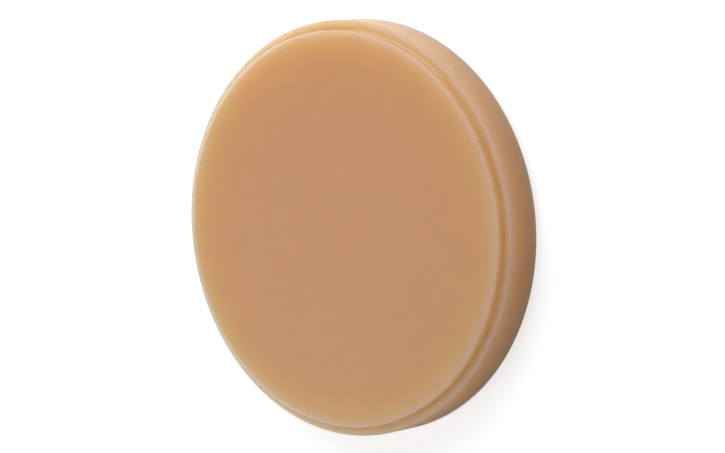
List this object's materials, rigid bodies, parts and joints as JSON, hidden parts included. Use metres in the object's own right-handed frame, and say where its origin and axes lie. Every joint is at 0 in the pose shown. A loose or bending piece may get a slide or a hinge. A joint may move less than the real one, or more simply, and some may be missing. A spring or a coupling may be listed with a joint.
{
  "type": "dental milling disc",
  "caption": "Round resin blank for milling dental crowns and bridges, with a raised face on both sides of its clamping rim.",
  "frame": {"origin": "centre of the back face, on which the disc lies", "axes": "+Z along the axis of the disc, out of the front face"},
  "size_m": [0.0984, 0.0984, 0.014],
  "materials": {
    "resin": "satin, slightly translucent at the edges"
  },
  "bodies": {
    "root": {"milling_disc": "resin"}
  },
  "joints": []
}
